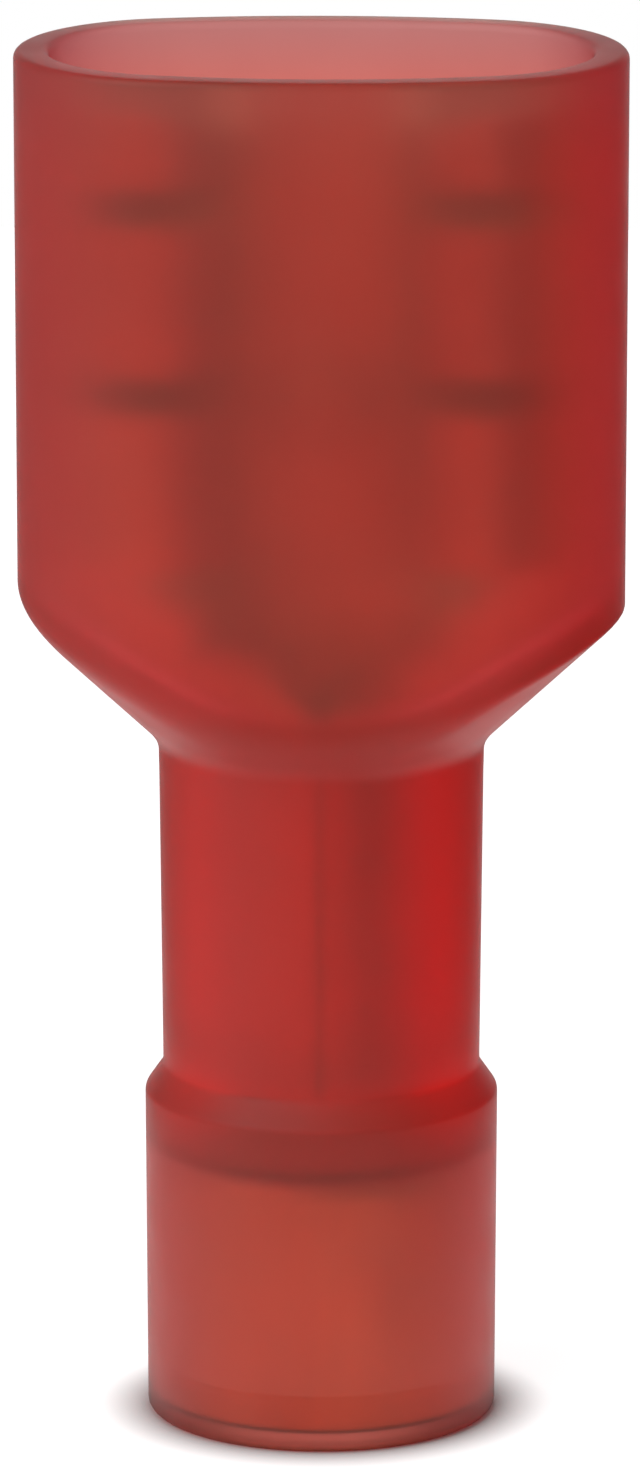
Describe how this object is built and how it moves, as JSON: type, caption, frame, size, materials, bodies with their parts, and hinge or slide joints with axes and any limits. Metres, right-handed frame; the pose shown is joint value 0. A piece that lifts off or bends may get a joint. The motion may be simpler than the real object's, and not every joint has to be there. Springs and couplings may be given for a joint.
{
  "type": "female spade terminal",
  "caption": "Fully insulated female spade terminal: slit, rolled receptacle and wire barrel in a translucent red moulded sleeve with a stepped collar.",
  "frame": {"origin": "centre of the wire entry's end face, on which the terminal stands", "axes": "+Z along the wire barrel towards the mouth, X across the tab's width, the receptacle's rolled edges face -Y"},
  "size_m": [0.0094, 0.0056, 0.0215],
  "materials": {
    "nylon": "translucent red moulded nylon, satin",
    "plated_brass": "tin-plated sheet, dull bright",
    "sleeve_metal": "tin-plated drawn tube, satin"
  },
  "bodies": {
    "root": {"housing": "nylon", "terminal": "plated_brass", "support_sleeve": "sleeve_metal"}
  },
  "joints": []
}
